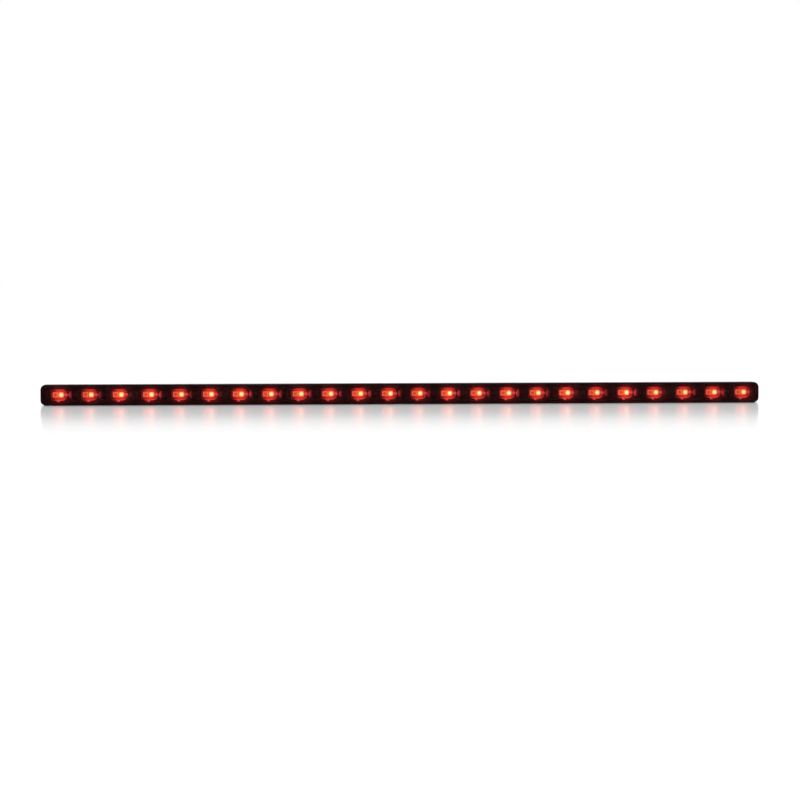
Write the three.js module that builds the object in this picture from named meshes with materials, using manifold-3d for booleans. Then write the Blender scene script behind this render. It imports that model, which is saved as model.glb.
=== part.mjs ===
// Slim third brake light: a long black housing with a smoked lens over a row of paired LEDs.
// Millimetres. X runs along the bar, Z is up and the lens faces -Y. The origin is the middle of the
// mounting tape's back face, where the light meets the vehicle.
//
// Every piece is drawn as seen from the front and stacked by its depth in front of that back face,
// in a group that is turned so that depth points along -Y.

import * as THREE from "three";
import { mergeVertices } from "three/addons/utils/BufferGeometryUtils.js";
import Module from "manifold-3d";

const wasm = await Module();
wasm.setup();

// ---- Driving dimensions ----

const LENGTH = 432;
const HEIGHT = 12.4;
const FIT = 0.05; // glue line or clearance between pieces that touch

const CELLS = 24; // pairs of LEDs
const PITCH = 17.89; // from one pair to the next
const LED_OFFSET = 1.75; // each LED's centre from the middle of its pair
const DRIVER_GAPS = [3, 6, 18, 21]; // gaps between pairs that hold a current driver and not a post

const CORNER = 3.1; // outer corners in the front view
const EDGE = 0.4; // rounding along the housing's front and back edges
const RIM = 1.1; // housing wall beside the lens
const LEDGE = 0.5; // step that carries the lens seal

const TAPE = { thickness: 1.05, halfHeight: 5.1, halfLength: 212, corner: 1.5, holeGap: 0.3 };
const BACK_WALL = 1.4;
const WIRE_SPACE = 1.6; // between the back wall and the circuit board
const BOARD_THICKNESS = 1;
const REFLECTOR_THICKNESS = 1.5;
const LED_CLEARANCE = 1.65; // from the reflector's front to the lens seal
const SEAL_THICKNESS = 0.4;
const LENS = { thickness: 1.6, edge: 0.35, proud: 0.2 }; // proud of the rim around it

const LED = {
  side: 3.1,
  body: 1.5,
  domeRadius: 1.35,
  domeHeight: 0.4,
  domeRoot: 0.3, // how deep the dome starts in the body
  leadWidth: 2.2,
  leadReach: 0.35,
};
const WINDOW = {
  halfLength: 4.4,
  halfHeight: 2.95,
  offset: 0.6, // its middle from the middle of the pair
  corner: 0.8,
  litCorner: 2.6, // at the end by the brake LED
  flare: 0.35,
};
const NOTCH = { width: 1.8, reach: 1.25 }; // keying notch under each window
const NOSE = { halfHeight: 0.9, reach: 0.9 }; // point at each window's rounder end
const POST = { shoulderRadius: 2.2, pinRadius: 1.2, headRadius: 2.8, headHeight: 1.3, clearance: 0.2 };
const LEAD_THICKNESS = 0.25; // of the metal leads of every package
const DRIVER = {
  length: 3,
  height: 3,
  thickness: 1,
  standOff: 0.1,
  leads: 4,
  leadPitch: 0.65,
  leadWidth: 0.3,
  leadSpan: 4.9,
  windowGap: 0.3, // around it, in the reflector
};
const DIODE = { length: 2.8, height: 1.8, thickness: 1, leadWidth: 0.9, leadReach: 0.45 };
const GROMMET = {
  bore: 1.7,
  neck: 2.45,
  outerFlange: 3.5,
  innerFlange: 3.2,
  outerThickness: 0.7,
  innerThickness: 0.8,
};
const LEAD_HOLES = { radius: 0.5, spacing: 2.4, offset: 6 }; // in the board, beside the grommet
const ROUND = 10; // sides of small round features
const SMOOTH = 20; // sides of the grommet and what it passes through
const PAST = 1; // how far a cutting tool reaches past what it cuts

// ---- Depths in front of the back face ----

const HOUSING_BACK = TAPE.thickness + FIT;
const CAVITY_FLOOR = HOUSING_BACK + BACK_WALL;
const BOARD_BACK = CAVITY_FLOOR + WIRE_SPACE;
const BOARD_FRONT = BOARD_BACK + BOARD_THICKNESS;
const PART_BACK = BOARD_FRONT + FIT; // back of all that sits on the board
const REFLECTOR_FRONT = PART_BACK + REFLECTOR_THICKNESS;
const LEDGE_DEPTH = REFLECTOR_FRONT + LED_CLEARANCE;
const SEAL_BACK = LEDGE_DEPTH + FIT;
const LENS_BACK = SEAL_BACK + SEAL_THICKNESS + FIT;
const LENS_FRONT = LENS_BACK + LENS.thickness;
const HOUSING_FRONT = LENS_FRONT - LENS.proud;

// ---- Half sizes in the front view ----

const POCKET = { halfLength: LENGTH / 2 - RIM, halfHeight: HEIGHT / 2 - RIM, corner: CORNER - RIM };
const CAVITY = {
  halfLength: POCKET.halfLength - LEDGE,
  halfHeight: POCKET.halfHeight - LEDGE,
  corner: POCKET.corner - LEDGE,
};
const INSERT = {
  halfLength: CAVITY.halfLength - 0.4,
  halfHeight: CAVITY.halfHeight - 0.1,
  corner: CAVITY.corner - 0.1,
};

const cellX = (cell) => (cell - (CELLS + 1) / 2) * PITCH; // cells count from 1, left to right
const gapX = (gap) => cellX(gap) + PITCH / 2; // gap n follows cell n
const GAPS = Array.from({ length: CELLS - 1 }, (_, i) => i + 1);
const POST_GAPS = GAPS.filter((gap) => !DRIVER_GAPS.includes(gap));
const GROMMET_X = cellX(2); // midway between two posts
const DIODE_X = cellX(3);

// ---- Shape helpers. Each returns a geometry with its depth along +Z ----

// The corners at its right end may have a radius of their own.
function roundedRectangle({ halfLength, halfHeight, corner, litCorner = corner }) {
  const left = corner - halfLength;
  const right = halfLength - litCorner;
  const shape = new THREE.Shape();
  shape.absarc(right, halfHeight - litCorner, litCorner, 0, Math.PI / 2);
  shape.absarc(left, halfHeight - corner, corner, Math.PI / 2, Math.PI);
  shape.absarc(left, corner - halfHeight, corner, Math.PI, 1.5 * Math.PI);
  shape.absarc(right, litCorner - halfHeight, litCorner, 1.5 * Math.PI, 2 * Math.PI);
  return shape;
}

// A prism of the outline, from one depth to another. An edge above 0 rounds both of its ends,
// inside the outline.
function plate(outline, from, to, { edge = 0, curveSegments = 4 } = {}) {
  const geometry = new THREE.ExtrudeGeometry(roundedRectangle(outline), {
    depth: to - from - 2 * edge,
    curveSegments,
    bevelEnabled: edge > 0,
    bevelThickness: edge,
    bevelSize: edge,
    bevelOffset: -edge,
    bevelSegments: 2,
  });
  return geometry.translate(0, 0, from + edge);
}

// The outline moved outwards all round, or inwards where the distance is below 0.
function grown({ halfLength, halfHeight, corner }, distance) {
  return {
    halfLength: halfLength + distance,
    halfHeight: halfHeight + distance,
    corner: corner + distance,
  };
}

function block(x, y, width, height, from, to) {
  return new THREE.BoxGeometry(width, height, to - from).translate(x, y, (from + to) / 2);
}

// A turned solid about a line along the depth. The profile is a list of [radius, depth] that starts
// and ends on that line, going forwards.
function turned(profile, x, y, segments = ROUND) {
  const points = profile.map(([radius, depth]) => new THREE.Vector2(radius, depth));
  return new THREE.LatheGeometry(points, segments).rotateX(Math.PI / 2).translate(x, y, 0);
}

function pin(radius, x, y, from, to, segments = ROUND) {
  return turned([[0, from], [radius, from], [radius, to], [0, to]], x, y, segments);
}

// ---- Boolean helpers ----

function toSolid(geometry) {
  const bare = geometry.clone();
  bare.deleteAttribute("normal");
  bare.deleteAttribute("uv");
  const merged = mergeVertices(bare, 1e-4);
  const mesh = new wasm.Mesh({
    numProp: 3,
    vertProperties: merged.attributes.position.array,
    triVerts: new Uint32Array(merged.index.array),
  });
  return new wasm.Manifold(mesh);
}

function toGeometry(solid) {
  const { vertProperties, triVerts } = solid.getMesh();
  const geometry = new THREE.BufferGeometry();
  geometry.setAttribute("position", new THREE.BufferAttribute(vertProperties, 3));
  geometry.setIndex(new THREE.BufferAttribute(triVerts, 1));
  geometry.computeVertexNormals();
  return geometry;
}

const joinAll = (solid, geometries) => geometries.reduce((sum, g) => sum.add(toSolid(g)), solid);
const cutAll = (solid, geometries) => geometries.reduce((rest, g) => rest.subtract(toSolid(g)), solid);

// ---- The assembly ----

const light = new THREE.Group();
light.name = "third_brake_light";
const front = new THREE.Group();
front.rotation.x = Math.PI / 2; // depth, drawn along +Z, comes to point along -Y
light.add(front);

const finish = (color, roughness) => new THREE.MeshStandardMaterial({ color, roughness, metalness: 0 });

const MATERIALS = {
  housing: finish(0x101011, 0.55),
  reflector: finish(0x0b0a0b, 0.4),
  board: finish(0x0d1210, 0.5),
  seal: finish(0x1c1c1c, 0.8),
  tape: finish(0x3a3b3d, 0.95),
  rubber: finish(0x151515, 0.85),
  chip: finish(0x18181a, 0.6),
};
const BRAKE_LED = finish(0xff5a2a, 0.3);
BRAKE_LED.emissive.set(0xff2a10);
const RUNNING_LED = finish(0xe8d8c8, 0.4);
const SMOKED_LENS = finish(0x3a1414, 0.08);
SMOKED_LENS.transparent = true;
SMOKED_LENS.opacity = 0.45;

function addPiece(name, geometry, material, x = 0, y = 0) {
  const piece = new THREE.Mesh(geometry, material);
  piece.name = name;
  piece.position.set(x, y, 0);
  front.add(piece);
}

// Back: double-sided foam tape, punched out round the cable grommet.
function mountingTape() {
  const holeRadius = GROMMET.outerFlange + TAPE.holeGap;
  const hole = pin(holeRadius, GROMMET_X, 0, -PAST, TAPE.thickness + PAST, SMOOTH);
  return toGeometry(cutAll(toSolid(plate(TAPE, 0, TAPE.thickness)), [hole]));
}

// A stake moulded on the housing: its shoulder carries the board, its pin passes through the board
// and the reflector, and its head is formed over them.
function heatStake(x) {
  const headBack = REFLECTOR_FRONT + FIT;
  const headFront = headBack + POST.headHeight;
  const profile = [
    [0, CAVITY_FLOOR - BACK_WALL / 2],
    [POST.shoulderRadius, CAVITY_FLOOR - BACK_WALL / 2],
    [POST.shoulderRadius, BOARD_BACK - FIT],
    [POST.pinRadius, BOARD_BACK - FIT],
    [POST.pinRadius, headBack],
    [POST.headRadius, headBack],
    [POST.headRadius, headBack + POST.headHeight * 0.4],
    [POST.headRadius * 0.72, headFront - POST.headHeight * 0.12],
    [0, headFront],
  ];
  return turned(profile, x, 0);
}

// Tub with a shallow pocket for the lens, a deeper cavity for the electronics and a row of stakes.
function housing() {
  const outer = { halfLength: LENGTH / 2, halfHeight: HEIGHT / 2, corner: CORNER };
  const shell = cutAll(toSolid(plate(outer, HOUSING_BACK, HOUSING_FRONT, { edge: EDGE })), [
    plate(POCKET, LEDGE_DEPTH, HOUSING_FRONT + PAST),
    plate(CAVITY, CAVITY_FLOOR, HOUSING_FRONT + PAST, { curveSegments: 3 }),
    pin(GROMMET.neck + FIT, GROMMET_X, 0, HOUSING_BACK - PAST, CAVITY_FLOOR + PAST, SMOOTH),
  ]);
  const pads = DRIVER_GAPS.map((gap) =>
    pin(POST.shoulderRadius, gapX(gap), 0, CAVITY_FLOOR - BACK_WALL / 2, BOARD_BACK - FIT),
  );
  return toGeometry(joinAll(shell, [...POST_GAPS.map((gap) => heatStake(gapX(gap))), ...pads]));
}

const stakeHoles = (from, to) =>
  POST_GAPS.map((gap) => pin(POST.pinRadius + POST.clearance, gapX(gap), 0, from - PAST, to + PAST));

// Board with a hole for each stake and three plated holes for the supply leads.
function circuitBoard() {
  const leadHoles = [-1, 0, 1].map((row) => {
    const x = GROMMET_X + LEAD_HOLES.offset;
    return pin(LEAD_HOLES.radius, x, row * LEAD_HOLES.spacing, BOARD_BACK - PAST, BOARD_FRONT + PAST);
  });
  const blank = toSolid(plate(INSERT, BOARD_BACK, BOARD_FRONT, { curveSegments: 2 }));
  return toGeometry(cutAll(blank, [...stakeHoles(BOARD_BACK, BOARD_FRONT), ...leadHoles]));
}

// The point at the window's rounder end: a wedge whose base is just inside the window. Like the
// window, it is drawn about the window's own middle.
function windowNose(from, to) {
  const base = WINDOW.halfLength - WINDOW.corner;
  const outline = new THREE.Shape([
    new THREE.Vector2(base, -NOSE.halfHeight),
    new THREE.Vector2(WINDOW.halfLength, -NOSE.halfHeight),
    new THREE.Vector2(WINDOW.halfLength + NOSE.reach, 0),
    new THREE.Vector2(WINDOW.halfLength, NOSE.halfHeight),
    new THREE.Vector2(base, NOSE.halfHeight),
  ]);
  const wedge = new THREE.ExtrudeGeometry(outline, { depth: to - from, bevelEnabled: false });
  return wedge.translate(0, 0, from);
}

// One window: straight through and flared towards the front, with a keying notch at its bottom edge
// and a point at its right end.
function windowTools(x) {
  const back = PART_BACK - PAST;
  const straight = plate(WINDOW, back, REFLECTOR_FRONT + PAST, { curveSegments: 3 });
  const flared = new THREE.ExtrudeGeometry(roundedRectangle(WINDOW), {
    depth: PAST,
    curveSegments: 3,
    bevelEnabled: true,
    bevelThickness: REFLECTOR_THICKNESS,
    bevelSize: WINDOW.flare,
    bevelSegments: 1,
  }).translate(0, 0, REFLECTOR_FRONT);
  const notchBottom = -WINDOW.halfHeight - NOTCH.reach;
  const notch = block(x, notchBottom / 2, NOTCH.width, -notchBottom, back, REFLECTOR_FRONT + PAST);
  const nose = windowNose(back, REFLECTOR_FRONT + PAST);
  return [notch, ...[straight, flared, nose].map((tool) => tool.translate(x + WINDOW.offset, 0, 0))];
}

// Black moulding that hides the board and frames each pair of LEDs and each driver.
function reflector() {
  const driverWindows = DRIVER_GAPS.map((gap) => {
    const width = DRIVER.leadSpan + 2 * DRIVER.windowGap;
    const height = DRIVER.height + 2 * DRIVER.windowGap;
    return block(gapX(gap), 0, width, height, PART_BACK - PAST, REFLECTOR_FRONT + PAST);
  });
  const windows = Array.from({ length: CELLS }, (_, i) => windowTools(cellX(i + 1))).flat();
  const blank = toSolid(plate(INSERT, PART_BACK, REFLECTOR_FRONT, { curveSegments: 2 }));
  const holes = stakeHoles(PART_BACK, REFLECTOR_FRONT);
  return toGeometry(cutAll(blank, [...windows, ...driverWindows, ...holes]));
}

// Surface-mount LED: square package, a solder lead above and below, and a clear dome over its cup.
function ledPackage() {
  const bodyFront = PART_BACK + LED.body;
  const body = toSolid(block(0, 0, LED.side, LED.side, PART_BACK, bodyFront));
  const leadSpan = LED.side + 2 * LED.leadReach;
  const leads = block(0, 0, LED.leadWidth, leadSpan, PART_BACK, PART_BACK + LEAD_THICKNESS);
  const dome = turned(
    [
      [0, bodyFront - LED.domeRoot],
      [LED.domeRadius, bodyFront - LED.domeRoot],
      [LED.domeRadius, bodyFront],
      [LED.domeRadius * 0.7, bodyFront + LED.domeHeight * 0.75],
      [0, bodyFront + LED.domeHeight],
    ],
    0,
    0,
    8,
  );
  return toGeometry(joinAll(body, [leads, dome]));
}

// Current driver: small-outline package with a row of leads towards the LEDs on either side.
function driverPackage() {
  const bodyBack = PART_BACK + DRIVER.standOff;
  const body = toSolid(block(0, 0, DRIVER.length, DRIVER.height, bodyBack, bodyBack + DRIVER.thickness));
  const leads = Array.from({ length: DRIVER.leads }, (_, i) => {
    const y = (i - (DRIVER.leads - 1) / 2) * DRIVER.leadPitch;
    return block(0, y, DRIVER.leadSpan, DRIVER.leadWidth, PART_BACK, PART_BACK + LEAD_THICKNESS);
  });
  return toGeometry(joinAll(body, leads));
}

// Reverse-polarity diode, on the back of the board.
function diodePackage() {
  const boardSide = BOARD_BACK - FIT;
  const body = toSolid(block(0, 0, DIODE.length, DIODE.height, boardSide - DIODE.thickness, boardSide));
  const leadSpan = DIODE.length + 2 * DIODE.leadReach;
  const leads = block(0, 0, leadSpan, DIODE.leadWidth, boardSide - LEAD_THICKNESS, boardSide);
  return toGeometry(joinAll(body, [leads]));
}

// Ring under the lens, on the housing's ledge.
function lensSeal() {
  const ring = toSolid(plate(grown(POCKET, -FIT), SEAL_BACK, SEAL_BACK + SEAL_THICKNESS));
  const opening = plate(grown(CAVITY, FIT), SEAL_BACK - PAST, LENS_BACK + PAST, { curveSegments: 3 });
  return toGeometry(cutAll(ring, [opening]));
}

function lens() {
  return plate(grown(POCKET, -FIT), LENS_BACK, LENS_FRONT, { edge: LENS.edge });
}

// Rubber bush in the back wall for the supply cable: two flanges, a neck and a through bore.
function cableGrommet() {
  const outerFace = HOUSING_BACK - FIT - GROMMET.outerThickness;
  const innerFace = CAVITY_FLOOR + FIT + GROMMET.innerThickness;
  const bush = toSolid(
    turned(
      [
        [0, outerFace],
        [GROMMET.outerFlange, outerFace],
        [GROMMET.outerFlange, HOUSING_BACK - FIT],
        [GROMMET.neck, HOUSING_BACK - FIT],
        [GROMMET.neck, CAVITY_FLOOR + FIT],
        [GROMMET.innerFlange, CAVITY_FLOOR + FIT],
        [GROMMET.innerFlange, innerFace],
        [0, innerFace],
      ],
      GROMMET_X,
      0,
      SMOOTH,
    ),
  );
  const bore = pin(GROMMET.bore, GROMMET_X, 0, outerFace - PAST, innerFace + PAST, SMOOTH);
  return toGeometry(cutAll(bush, [bore]));
}

addPiece("mounting_tape", mountingTape(), MATERIALS.tape);
addPiece("housing", housing(), MATERIALS.housing);
addPiece("cable_grommet", cableGrommet(), MATERIALS.rubber);
addPiece("circuit_board", circuitBoard(), MATERIALS.board);
addPiece("reflector", reflector(), MATERIALS.reflector);
addPiece("lens_seal", lensSeal(), MATERIALS.seal);
addPiece("lens", lens(), SMOKED_LENS);
addPiece("polarity_diode", diodePackage(), MATERIALS.chip, DIODE_X);

const ledGeometry = ledPackage();
const twoDigits = (n) => String(n).padStart(2, "0");
for (let cell = 1; cell <= CELLS; cell++) {
  addPiece(`brake_led_${twoDigits(cell)}`, ledGeometry, BRAKE_LED, cellX(cell) + LED_OFFSET);
  addPiece(`running_led_${twoDigits(cell)}`, ledGeometry, RUNNING_LED, cellX(cell) - LED_OFFSET);
}

const driverGeometry = driverPackage();
DRIVER_GAPS.forEach((gap, i) => {
  addPiece(`current_driver_${i + 1}`, driverGeometry, MATERIALS.chip, gapX(gap));
});

export default light;
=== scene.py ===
"""Looks of the slim third brake light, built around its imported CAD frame.

Millimetres in the code, metres in Blender. X runs along the bar, Z is up and the lens faces -Y. Every piece
is drawn in the row frame, so its object stays at the origin.
"""

import math
import random

import bmesh
import bpy
from mathutils import Matrix, Vector


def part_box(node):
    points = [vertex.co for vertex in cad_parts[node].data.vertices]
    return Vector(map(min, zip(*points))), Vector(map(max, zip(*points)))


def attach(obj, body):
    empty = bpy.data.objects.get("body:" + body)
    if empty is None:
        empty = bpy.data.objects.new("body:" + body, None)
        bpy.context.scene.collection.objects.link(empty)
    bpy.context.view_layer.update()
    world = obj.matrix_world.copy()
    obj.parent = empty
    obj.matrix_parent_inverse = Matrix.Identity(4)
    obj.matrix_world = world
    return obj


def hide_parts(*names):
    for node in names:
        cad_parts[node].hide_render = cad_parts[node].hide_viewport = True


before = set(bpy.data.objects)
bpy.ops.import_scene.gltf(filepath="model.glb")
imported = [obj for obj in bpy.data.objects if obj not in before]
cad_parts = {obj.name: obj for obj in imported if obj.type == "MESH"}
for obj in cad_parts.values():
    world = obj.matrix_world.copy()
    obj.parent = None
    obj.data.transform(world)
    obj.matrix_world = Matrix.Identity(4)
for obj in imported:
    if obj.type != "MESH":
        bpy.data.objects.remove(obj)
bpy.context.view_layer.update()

MM = 0.001


class Box:
    """Lowest and highest corner of a CAD node, its middle and its half size, in millimetres."""

    def __init__(self, node):
        low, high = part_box(node)
        self.low = low / MM
        self.high = high / MM
        self.middle = (self.low + self.high) / 2
        self.half = (self.high - self.low) / 2


HOUSING = Box("housing")
LENS = Box("lens")
SEAL = Box("lens_seal")
REFLECTOR = Box("reflector")
BOARD = Box("circuit_board")
TAPE = Box("mounting_tape")
GROMMET = Box("cable_grommet")

LED_NAMES = sorted(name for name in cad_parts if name.startswith("brake_led_"))
CELLS = len(LED_NAMES)
LIT = [Box(name) for name in LED_NAMES]
DARK = [Box(name.replace("brake", "running")) for name in LED_NAMES]
DRIVERS = [Box(name) for name in sorted(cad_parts) if name.startswith("current_driver_")]
PITCH = (LIT[-1].middle.x - LIT[0].middle.x) / (CELLS - 1)
CELL_X = [(lit.middle.x + dark.middle.x) / 2 for lit, dark in zip(LIT, DARK)]
MID_GAPS = [x + PITCH / 2 for x in CELL_X[:-1]]
STAKE_X = [x for x in MID_GAPS if all(abs(x - driver.middle.x) > 1 for driver in DRIVERS)]

# ---- Sizes that the frame's boxes don't give, in millimetres ----

CORNER = 3.1  # outer corners in the front view
SMALLEST_CORNER = 0.05
EDGE = 0.4  # rounding of the housing's front and back edges
FILLET = 0.12  # softening of the small moulded edges
FILLET_MIDDLE = 0.3  # share of a fillet at which its middle point lies
RIM = HOUSING.half.z - LENS.half.z - 0.05  # housing wall beside the lens
LEDGE = 0.5  # step that carries the seal
BACK_WALL = 1.4
SEAT = 0.05  # clearance between pieces that touch
CUT_PAST = 1  # how far a cutter reaches past what it cuts
LENS_EDGE = 0.35
LENS_BACK_EDGE = 0.15
LENS_CROWN = 0.16  # how far the lens falls from its middle to its edge
LENS_FLAT = 0.5  # half the height of the flat strip along its middle
INSERT_CORNER = CORNER - RIM - LEDGE - 0.1  # of the board and the reflector
WINDOW_HALF = (4.4, 2.95)
WINDOW_OFFSET = 0.6  # its middle from the middle of the pair of LEDs
WINDOW_CORNER = 0.8
WINDOW_LIT_CORNER = 2.6  # at the end beside the lit LED
WINDOW_FLARE = 0.4
WINDOW_DROP = 0.1  # how much further the flare spreads at the bottom
NOTCH_HALF_WIDTH = 0.9
NOTCH_REACH = 1.25
NOTCH_CORNER = 0.25
NOSE_HALF = 0.9  # the point at the lit end
NOSE_REACH = 0.9
NOSE_BLUNT = (0.1, 0.15)  # depth and half width of its blunted tip
STAKE_ROOT = 0.3  # how deep a stake sits in the back wall
STAKE_SHOULDER = 2.2
STAKE_PIN = 1.2
STAKE_HOLE = 1.4
STAKE_HEAD = 2.8
STAKE_HEAD_HEIGHT = 1.3
STAKE_HEAD_RIM = 0.25  # height of the head's upright edge
STAKE_HEAD_BEVEL = 0.08
STAKE_WIDTHS = (0.92, 1.05)  # lowest and highest share of STAKE_HEAD
STAKE_HEIGHTS = (0.85, 1.0)  # and of STAKE_HEAD_HEIGHT
STAKE_DRIFT = (0.15, 0.1)  # how far a stake may lie off its place, along X and along Z
DRIVER_WINDOW_GAP = 0.3
DRIVER_WINDOW_CORNER = 0.4
DRIVER_LEAD_REACH = 0.95
DRIVER_LEAD_PITCH = 0.65
DRIVER_LEAD_HALF = 0.15
DRIVER_STANDOFF = 0.1
DRIVER_MARK_INSET = 0.7  # of the pin-one mark from the body's sides
RESISTOR_DROP = 0.5  # of a resistor's middle from the window's upper edge
RESISTOR_LIFT = 0.02
RESISTOR_BODY = (0.38, 0.34, 0.26)  # half length, height and half width
RESISTOR_CAP = (0.34, 0.55, 0.37, 0.28)  # start, end, height and half width
LED_SIDE = 2 * LIT[0].half.x
LED_REACH = LIT[0].half.z  # to the end of its solder leads
LED_CUP = 1.1
LED_CUP_DEPTH = 0.7
LED_BODY_HEIGHT = 1.5
LED_DOME = 0.4
LED_PAD_HALF = 1.1
LED_LEAD_HALF = 0.95
LED_DIE_HALF = 0.45
TAPE_CORNER = 1.5
TAPE_TRIM = 0.03  # how far the cut edges stay inside the frame's box
TAPE_WANDER = 0.05
TAPE_PUNCH_GAP = 0.3
GROMMET_NECK = GROMMET.half.x * 0.7
GROMMET_BORE = 1.7
TURNED_STEPS = 48  # sides of a large turned shape
SHARP_ANGLE = 35  # edges that turn by more degrees stay sharp

# ---- Mesh helpers: everything takes millimetres ----


def rounded_rectangle(half_x, half_z, corner, steps=8):
    """Points (x, z) of a rounded rectangle, anticlockwise as seen from the front."""
    points = []
    for quarter in range(4):
        centre_x = (half_x - corner) * (1 if quarter in (0, 3) else -1)
        centre_z = (half_z - corner) * (1 if quarter in (0, 1) else -1)
        for step in range(steps + 1):
            angle = math.pi / 2 * (quarter + step / steps)
            points.append((centre_x + corner * math.cos(angle), centre_z + corner * math.sin(angle)))
    return points


def circle(radius, count):
    """Evenly spaced points (x, z) that pair up with those of a rounded rectangle of as many points."""
    angles = [2 * math.pi * (i + 0.5) / count for i in range(count)]
    return [(radius * math.cos(a), radius * math.sin(a)) for a in angles]


def new_mesh():
    return bmesh.new()


def add_ring(mesh, outline, y, centre=(0.0, 0.0)):
    return [mesh.verts.new((centre[0] + x, y, centre[1] + z)) for x, z in outline]


def add_loft(mesh, rings, closed=False, material=0):
    """Skins the rings, each a list of vertices, in order. An open loft is capped at both ends."""
    pairs = list(zip(rings, rings[1:]))
    if closed:
        pairs.append((rings[-1], rings[0]))
    faces = []
    for first, second in pairs:
        count = len(first)
        for i in range(count):
            j = (i + 1) % count
            faces.append(mesh.faces.new((first[i], first[j], second[j], second[i])))
    if not closed:
        faces.append(mesh.faces.new(list(reversed(rings[0]))))
        faces.append(mesh.faces.new(rings[-1]))
    for face in faces:
        face.material_index = material
    return faces


def add_turned(mesh, profile, centre, segments=32, material=0):
    """Turns a profile of (radius, y) about a line along Y through centre, an (x, z). Where both of its ends
    are on the line it closes there, and else it closes on itself."""
    on_axis = profile[0][0] == 0 and profile[-1][0] == 0
    stations = profile[1:-1] if on_axis else profile
    angles = [2 * math.pi * i / segments for i in range(segments)]
    rings = [
        [mesh.verts.new((centre[0] + r * math.cos(a), y, centre[1] + r * math.sin(a))) for a in angles]
        for r, y in stations
    ]
    pairs = list(zip(rings, rings[1:]))
    if not on_axis:
        pairs.append((rings[-1], rings[0]))
    faces = [
        mesh.faces.new((a[i], a[(i + 1) % segments], b[(i + 1) % segments], b[i]))
        for a, b in pairs
        for i in range(segments)
    ]
    if on_axis:
        for (_, y), ring in ((profile[0], rings[0]), (profile[-1], rings[-1])):
            tip = mesh.verts.new((centre[0], y, centre[1]))
            faces += [mesh.faces.new((ring[i], ring[(i + 1) % segments], tip)) for i in range(segments)]
    for face in faces:
        face.material_index = material
    return faces


def add_block(mesh, low, high, bevel=0.06, material=0):
    """A box with bevelled edges."""
    block = bmesh.new()
    bmesh.ops.create_cube(block, size=1)
    size = [high[k] - low[k] for k in range(3)]
    middle = [(high[k] + low[k]) / 2 for k in range(3)]
    bmesh.ops.scale(block, vec=size, verts=block.verts)
    bmesh.ops.translate(block, vec=middle, verts=block.verts)
    bmesh.ops.bevel(block, geom=block.edges[:], offset=bevel, segments=2, profile=0.5, affect="EDGES")
    add_copy(mesh, block, material)
    block.free()


def add_copy(mesh, part, material):
    """Adds a copy of a part to the mesh, in one material."""
    verts = {v: mesh.verts.new(v.co) for v in part.verts}
    for face in part.faces:
        made = mesh.faces.new([verts[v] for v in face.verts])
        made.material_index = material


def arc(steps, start, end):
    """Cosine and sine at even steps from one angle to another, in degrees."""
    angles = [math.radians(start + (end - start) * i / steps) for i in range(steps + 1)]
    return [(math.cos(a), math.sin(a)) for a in angles]


def arc_about(centre, radius, start, end, steps=6):
    """Points (x, z) of an arc about a centre, from one angle to another, in degrees."""
    return [(centre[0] + radius * c, centre[1] + radius * s) for c, s in arc(steps, start, end)]


def to_object(mesh, name, materials):
    """Turns a bmesh in millimetres into an object in metres, smooth but for its sharp edges."""
    bmesh.ops.recalc_face_normals(mesh, faces=mesh.faces[:])
    bmesh.ops.scale(mesh, vec=(MM, MM, MM), verts=mesh.verts)
    data = bpy.data.meshes.new(name)
    mesh.to_mesh(data)
    mesh.free()
    for surface in materials:
        data.materials.append(surface.material)
    data.shade_smooth()
    data.set_sharp_from_angle(angle=math.radians(SHARP_ANGLE))
    made = bpy.data.objects.new(name, data)
    bpy.context.scene.collection.objects.link(made)
    return made


def cut(target, cutter_mesh):
    """Takes the cutter, a bmesh of closed solids, out of the target for good."""
    cutter = to_object(cutter_mesh, "cutter", [])
    modifier = target.modifiers.new("cut", "BOOLEAN")
    modifier.operation = "DIFFERENCE"
    modifier.solver = "EXACT"
    modifier.object = cutter
    evaluated = target.evaluated_get(bpy.context.evaluated_depsgraph_get())
    result = bpy.data.meshes.new_from_object(evaluated)
    target.modifiers.clear()
    target.data = result
    result.shade_smooth()
    result.set_sharp_from_angle(angle=math.radians(SHARP_ANGLE))
    bpy.data.objects.remove(cutter)


def add_piece(piece, slot, *nodes):
    """Rides the piece on the light's one body and hides the CAD nodes that it stands for. The slot, for the
    name of its finish, is not used.
    """
    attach(piece, "root")
    if nodes:
        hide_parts(*nodes)
    return piece


# ---- Materials ----

GLOW_REACH = 14.0  # how far from a lit LED its light is followed, in millimetres
LED_POINT_Y = LIT[0].low.y
NOISE_RANGE = (0.25, 0.75)  # where most of a noise texture's values lie
FINER = 3.1  # how much finer the roughness varies than the colour
FACES_BACK = 0.7  # a normal whose Y is over this looks backwards


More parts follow.
